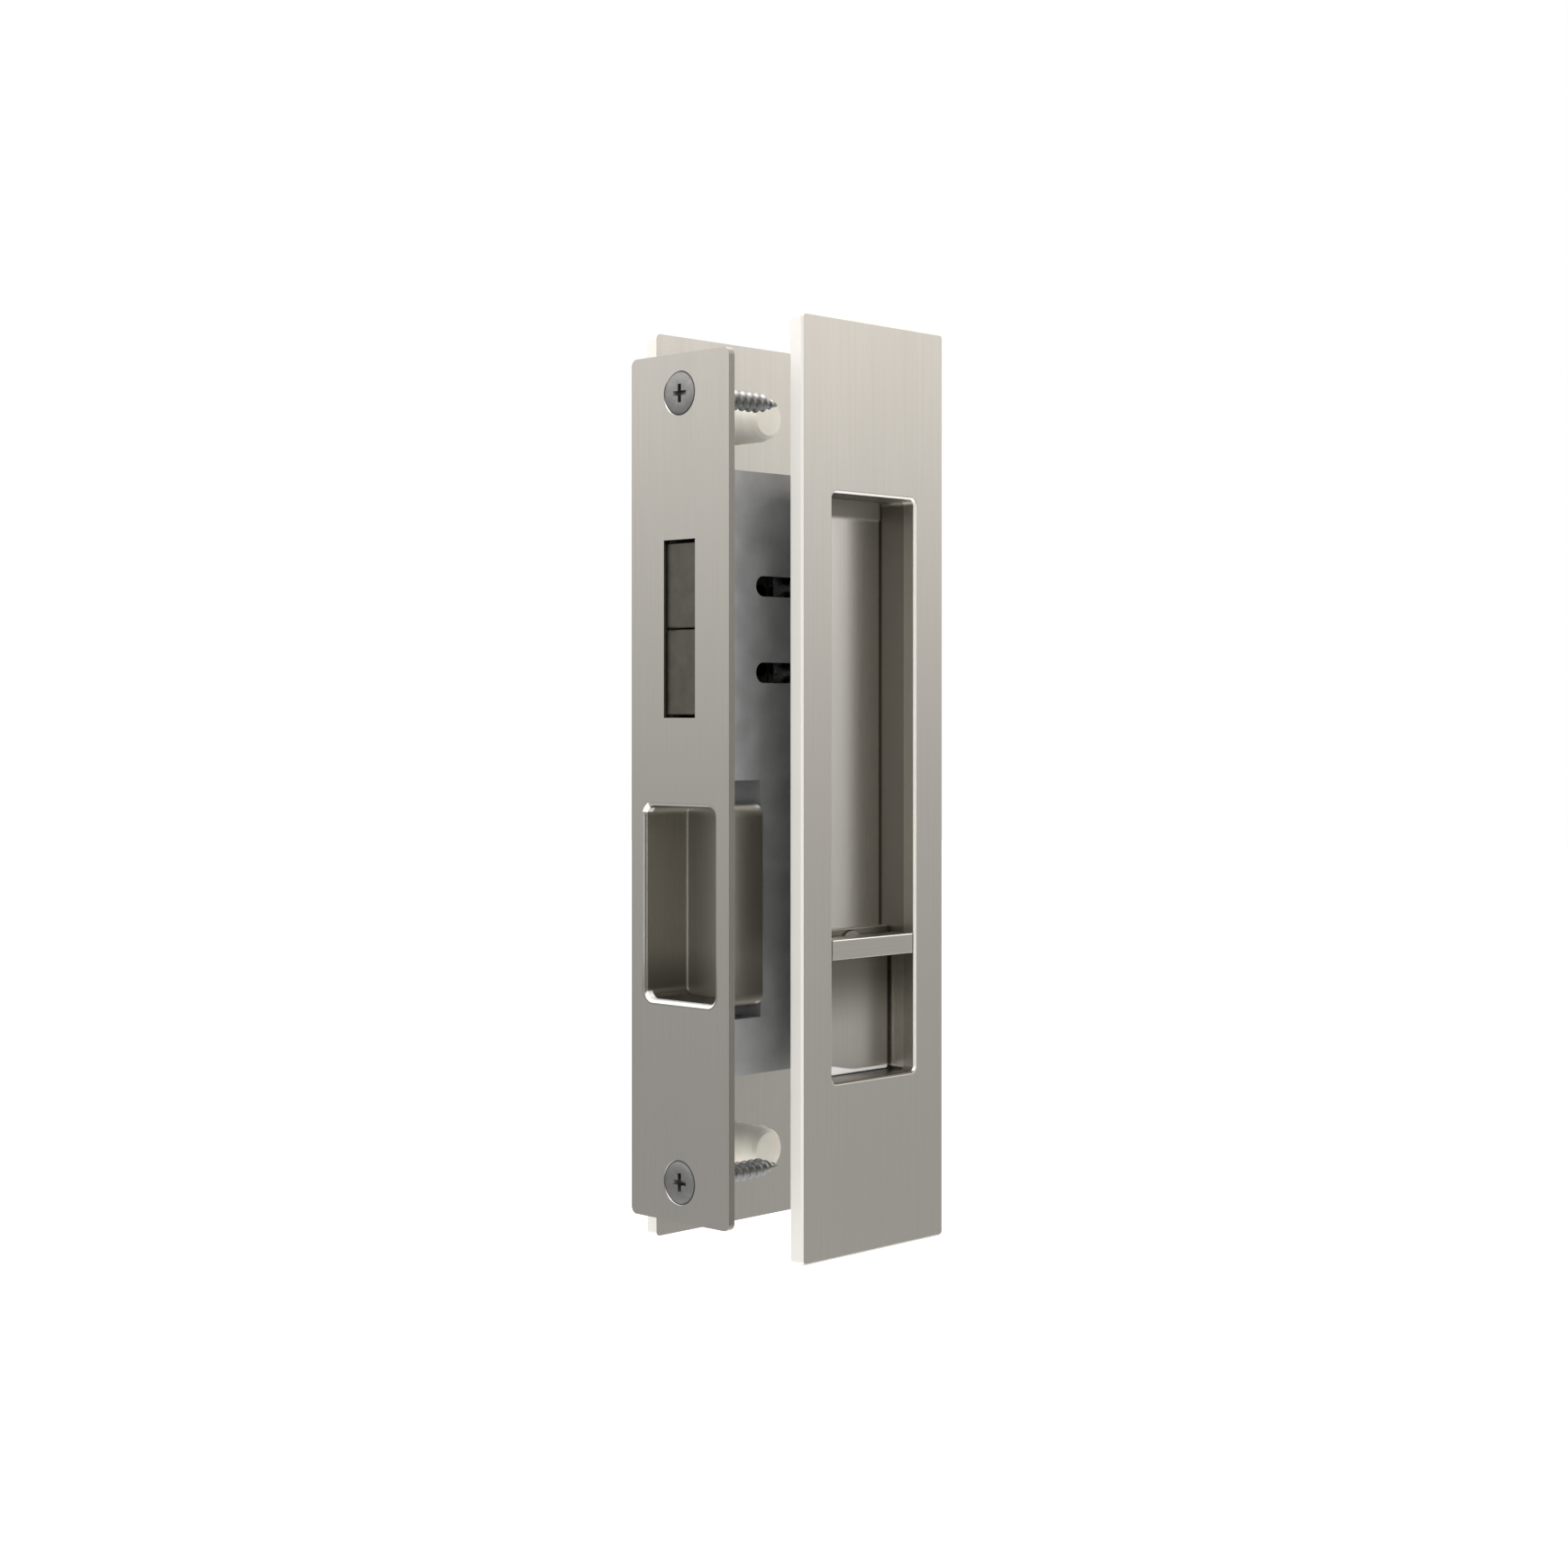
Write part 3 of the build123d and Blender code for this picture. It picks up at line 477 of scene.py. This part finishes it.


# Painted light on the plates' long sides and the opening's lips, painted shade on the opening's
# end walls.
dress(brushed_nickel("satin_nickel_plate_painted_light_and_shade", "#d9d5cd", "#d0ccc4", upright,
                     satin_rough, [
                         (plate_side_painted_light, "#eae8e4", 0.36, 0.35),
                         (opening_head_shade, "#47443e", 0.38, 1.0),
                         (opening_sill_shade, "#67635c", 0.40, 1.0),
                         (opening_lip_highlight, "#f3f1ec", 0.30, 0.40)]), "inside_plate", "outside_plate")


# Trays
# Deep trays drawn from brass sheet and plated with the plates. Shade is painted on their end
# walls, long walls, the floor's upper end and in the bends between floor and walls.
tray_floor_y, floor_head_z, base_top_z = 13.0, 55.1, -36.0


def tray_bend(tree):
    """The bends between a tray's floor and its long walls."""
    from_wall = add(tree, "Math", {0: opening_half_w, 1: off_middle(tree)}, operation="SUBTRACT")
    out_y = add(tree, "Math", {0: where(tree)[1]}, operation="ABSOLUTE")
    from_floor = add(tree, "Math", {0: out_y, 1: tray_floor_y}, operation="SUBTRACT")
    return add(tree, "Math", {
        0: soft_edge(tree, from_wall, 0.62, 0.30), 1: soft_edge(tree, from_floor, 0.62, 0.30)},
        operation="MULTIPLY")


def tray_crease_shade(tree):
    """Painted shade in the bends above the base."""
    above = soft_edge(tree, where(tree)[2], base_top_z - 2.0, base_top_z + 2.0)
    return add(tree, "Math", {0: tray_bend(tree), 1: above}, operation="MULTIPLY")


def base_bend_shade(tree):
    """Painted shade in the bends beside the base, in a greyer, half-metallic tone."""
    beside = soft_edge(tree, where(tree)[2], base_top_z + 2.0, base_top_z - 2.0)
    return add(tree, "Math", {0: tray_bend(tree), 1: beside}, operation="MULTIPLY")


def tray_upper_wall_shade(tree):
    """Painted shade on the tray's upper end wall, darker towards the edge plate."""
    duller = soft_edge(tree, where(tree)[0], pull_x + 8.5, pull_x - 7.5, 0.4, 1.0)
    return add(tree, "Math", {0: facing(tree, (0, 0, -1), 0.3, 0.7), 1: duller},
               operation="MULTIPLY")


def tray_lower_wall_end_shade(tree):
    """Painted shade on the far end of the tray's lower end wall."""
    far = soft_edge(tree, where(tree)[0], pull_x - 5.5, pull_x + 2.5)
    return add(tree, "Math", {0: facing(tree, (0, 0, 1), 0.3, 0.7), 1: far},
               operation="MULTIPLY")


def tray_floor_head_shade(tree):
    """Painted shade on the floor's upper end, under the upper end wall."""
    floor = soft_edge(tree, sideways(tree), 0.6, 0.2)
    head = soft_edge(tree, where(tree)[2], floor_head_z, floor_head_z + 1.1)
    return add(tree, "Math", {0: floor, 1: head}, operation="MULTIPLY")


def tray_long_wall_shade(tree):
    """Painted shade on the tray's long walls above the base."""
    above = soft_edge(tree, where(tree)[2], base_top_z, base_top_z + 7.0)
    return add(tree, "Math", {0: sideways(tree), 1: above}, operation="MULTIPLY")


dress(brushed_nickel("satin_nickel_drawn_tray", "#eeebe5", "#e4e1da", upright, 0.29, [
    (tray_long_wall_shade, "#a9a59d", 0.34, 1.0),
    (tray_floor_head_shade, "#827e77", 0.45, 0.5),
    (tray_upper_wall_shade, "#5d5a53", 0.36, 1.0),
    # Painted shade on the tray's surfaces that face up.
    (lambda tree: facing(tree, (0, 0, 1), 0.3, 0.7), "#716d66", 0.38, 1.0),
    (tray_lower_wall_end_shade, "#36332f", 0.38, 1.0),
    (base_bend_shade, "#b9b5ae", 0.45, 0.5),
    (tray_crease_shade, "#78746c", 0.45, 1.0)]), "inside_tray", "outside_tray")


# Turn bases
# Raised nickel plated pads in the trays' lower ends. The finger bar's shadow is painted on the
# inside base, and a highlight along its lower edge by the tray's end wall.
base_foot_z, bar_shade_z = -58.9, -38.0


def bar_shadow_on_base(tree):
    """Painted shadow of the finger bar on the inside base, full at the bar and fading out
    downwards.
    """
    return soft_edge(tree, where(tree)[2], bar_shade_z - 13.0, bar_shade_z, 0.0, 0.95)


def base_foot_highlight(tree):
    """A painted highlight on the base's lower edge, broader towards the edge plate."""
    x, _, z = where(tree)
    broad = soft_edge(tree, x, pull_x + 2.5, pull_x - 7.5, 0.0, 1.3)
    below = add(tree, "Math", {0: z, 1: broad}, operation="SUBTRACT")
    return soft_edge(tree, below, base_foot_z + 0.5, base_foot_z)


dress(brushed_nickel("satin_nickel_inside_base", "#d6d3cc", "#cdc9c2", upright, 0.30, [
    (bar_shadow_on_base, "#7d7971", 0.36, 1.0),
    (base_foot_highlight, "#ffffff", 0.30, 0.0)]), "inside_turn_base")
dress(brushed_nickel("satin_nickel_outside_base", "#d0ccc5", "#c6c2bb", upright, 0.30),
      "outside_turn_base")


# Finger turn and coin release
# Turned and milled brass, plated and brushed along the bar. A highlight is painted along the
# bar's upper front edge, and shade on its top and under sides, its neck and its back.
along_bar = (1, 0, 0)
bar_back_y, release_rim_y = -17.0, 16.0


def neck_and_back_shade(tree):
    """Painted shade on the neck and the back of the bar."""
    return soft_edge(tree, where(tree)[1], bar_back_y, bar_back_y + 0.5)


def coin_slot_shade(tree):
    """Painted shade in the release's slot and on its rim below the face."""
    return soft_edge(tree, where(tree)[1], release_rim_y, release_rim_y - 0.3, 0.0, 0.9)


dress(brushed_nickel("satin_nickel_finger_bar", "#d6d2cb", "#cbc7c0", along_bar, 0.30, [
    (neck_and_back_shade, "#77736b", 0.36, 1.0),
    # Painted shade on the bar's top and under sides.
    (lambda tree: facing(tree, (0, 0, 1), 0.8, 0.95), "#77736b", 0.36, 1.0),
    (lambda tree: facing(tree, (0, 0, -1), 0.8, 0.95), "#77736b", 0.36, 1.0),
    # A painted highlight along the bar's upper front edge.
    (lambda tree: facing(tree, (0, -0.7071, 0.7071), 0.9, 0.97), "#f6f4ef", 0.25, 0.5)]),
      "turn_snib")
dress(brushed_nickel("satin_nickel_coin_release", "#cdc9c2", "#c2beb7", along_bar, 0.30, [
    (coin_slot_shade, "#5d5952", 0.40, 1.0)]), "release_turn")


# Bushes and plugs
# Moulded natural nylon, slightly waxy. The bushes carry the turns in their bases. Each plug is
# a blind tube with a chamfered tip and four moulded barbs that grip the hole it is driven into,
# and the plates' studs press into it.
def nylon(name, colour_hex):
    """Natural nylon: a pale, slightly see-through plastic with a fine moulded skin."""
    material, tree = new_material(name)
    _, milky = cloudy(tree, colour_hex, 5, 0.9, detail=2.0, fineness=0.5)
    skin = add(tree, "TexNoise", {
        "Vector": add(tree, "TexCoord").outputs["Object"], "Scale": 1 / (0.6 * MM),
        "Detail": 3.0})
    bump = add(tree, "Bump", {"Height": skin, "Strength": 0.15, "Distance": 0.02 * MM})
    surface = add(tree, "BsdfPrincipled", {
        "Base Color": milky, "Roughness": 0.45, "IOR": 1.53, "Subsurface Weight": 0.3,
        "Subsurface Scale": 1.0 * MM, "Normal": bump})
    add(tree, "OutputMaterial", {"Surface": surface})
    return material


natural_nylon = nylon("natural_nylon", "#e9e6dc")
dress(natural_nylon, "inside_bush", "outside_bush")

# Outline of a plug, from the tip's middle round to the bore's end: (radius, distance along it)
plug_r, tip_r, barb_r, bore_r, plug_len, bore_len = 4.45, 3.7, 4.97, 2.05, 12.0, 11.0
barb_step, plug_z = 2.3, 78
plug_outline = [(0, plug_len), (tip_r, plug_len), (plug_r, plug_len - 0.8)]
for barb in (3, 2, 1, 0):
    foot = 1.8 + barb_step * barb
    plug_outline += [(plug_r, foot + 1.9), (barb_r, foot + 0.15), (plug_r, foot)]
plug_outline += [(plug_r, 0.25), (plug_r - 0.25, 0), (bore_r, 0), (bore_r, bore_len),
                 (0, bore_len)]
for side, back_y, turn_deg in (("inside", -19.6, -90), ("outside", 19.6, 90)):
    plug = bmesh.new()
    corners = [plug.verts.new((radius * MM, 0, along * MM)) for radius, along in plug_outline]
    outline = [plug.edges.new(pair) for pair in zip(corners, corners[1:])]
    bmesh.ops.spin(plug, geom=corners + outline, cent=(0, 0, 0), axis=(0, 0, 1), angle=math.tau,
                   steps=48, use_merge=True, use_duplicate=False)
    bmesh.ops.remove_doubles(plug, verts=plug.verts, dist=0.001 * MM)
    set_out(plug, [(pull_x, back_y, z) for z in (plug_z, -plug_z)],
            Matrix.Rotation(math.radians(turn_deg), 3, "X"))
    piece(f"barbed_plugs_{side}", plug, natural_nylon, "nylon", "case", f"{side}_plugs")


# Floor
# A pale round of studio paper, well below the part and matt, so it lights the part softly from
# below and doesn't show in the metal.
floor_z, floor_r = -0.30, 6.0
floor_mesh = bmesh.new()
bmesh.ops.create_circle(floor_mesh, cap_ends=True, segments=96, radius=floor_r)
bmesh.ops.translate(floor_mesh, verts=floor_mesh.verts, vec=(0, 0, floor_z))
floor_data = bpy.data.meshes.new("studio_floor")
floor_mesh.to_mesh(floor_data)
floor_mesh.free()
floor_paper, tree = new_material("pale_studio_paper")
paper = add(tree, "BsdfPrincipled", {"Base Color": linear("#f7f7f6"), "Roughness": 0.9})
add(tree, "OutputMaterial", {"Surface": paper})
floor_data.materials.append(floor_paper)
floor = bpy.data.objects.new("studio_floor", floor_data)
bpy.context.scene.collection.objects.link(floor)
floor.visible_glossy = False


# Studio light
# White walls that are bright above and darker below eye level, so satin metal grades from top
# to bottom. The studio is dark behind the camera, with a tall lit strip on each side of that
# dark field, and one softbox hangs above.
world = bpy.data.worlds.new("soft_studio")
bpy.context.scene.world = world
world.use_nodes = True
sky = world.node_tree
sky.nodes.clear()
direction = add(sky, "TexCoord").outputs["Generated"]
height = add(sky, "SeparateXYZ", {"Vector": direction}).outputs["Z"]
height_place = add(sky, "MapRange", {"Value": height, "From Min": -1.0, "From Max": 1.0})
# (height of the direction, brightness, warmth), from straight down to straight up
studio = [(-1.0, 1.25, 1.0), (-0.55, 1.0, 1.0), (-0.24, 0.36, 1.0), (-0.08, 0.41, 1.0),
          (0.04, 0.60, 0.99), (0.18, 1.20, 0.95), (0.5, 1.6, 0.95), (1.0, 1.6, 0.97)]
half_bright = add(sky, "ValToRGB", {"Fac": height_place}, stops=[
    ((z + 1) / 2, (b / 2, b / 2 * (1 + warm) / 2, b / 2 * warm, 1.0)) for z, b, warm in studio])
walls = add(sky, "MixRGB", {
    "Fac": 1.0, "Color1": half_bright, "Color2": (2, 2, 2, 1)}, blend_type="MULTIPLY")


def patch(axis, inner_deg, outer_deg):
    """One inside a cone about an axis, falling to nothing at its outer angle."""
    dot = add(sky, "VectorMath", {0: direction, 1: Vector(axis).normalized()},
              operation="DOT_PRODUCT")
    return soft_edge(sky, dot.outputs["Value"], math.cos(math.radians(outer_deg)),
                     math.cos(math.radians(inner_deg)))


to_camera, dark_field = (-0.7185, -0.6955, 0.0), (0.155, 0.15, 0.135, 1)
to_right_strip, to_left_strip, strip_bright = (-0.08, -1, 0.0), (-1, -0.05, 0.0), 1.6
darkened = add(sky, "MixRGB", {
    "Fac": patch(to_camera, 24, 40), "Color1": walls, "Color2": dark_field})
strips = add(sky, "Math", {
    0: patch(to_right_strip, 5, 9), 1: patch(to_left_strip, 5, 9)}, operation="ADD")
strip_light = add(sky, "Math", {0: strips, 1: strip_bright}, operation="MULTIPLY")
lit = add(sky, "MixRGB", {
    "Fac": 1.0, "Color1": darkened, "Color2": strip_light}, blend_type="ADD")
seen = add(sky, "LightPath").outputs["Is Camera Ray"]
shown = add(sky, "MixRGB", {"Fac": seen, "Color1": lit, "Color2": (1, 1, 1, 1)})
background = add(sky, "Background", {"Color": shown, "Strength": 1.0})
add(sky, "OutputWorld", {"Surface": background})

key = bpy.data.lights.new("key_softbox", "AREA")
key.shape = "DISK"
key.size = 1.2
key.energy = 12.0
key_lamp = bpy.data.objects.new("key_softbox", key)
key_lamp.location = (-0.6, -0.4, 1.6)
key_lamp.rotation_euler = (-key_lamp.location).to_track_quat("-Z", "Y").to_euler()
bpy.context.scene.collection.objects.link(key_lamp)


# Camera
# Level, a little above the plates' middle and 46 degrees round from their faces, with the frame
# shifted down as the photograph's is.
camera_data = bpy.data.cameras.new("photo_camera")
camera_data.lens = 57.76
camera_data.sensor_width = 36.0
camera_data.shift_y = -0.0415
camera_data.clip_start = 0.01
camera = bpy.data.objects.new("photo_camera", camera_data)
camera.location = (-0.3497, -0.3679, 0.0139)
camera.rotation_euler = (math.radians(90), 0, math.radians(-45.93))
bpy.context.scene.collection.objects.link(camera)
bpy.context.scene.camera = camera
bpy.context.scene.view_settings.view_transform = "Standard"
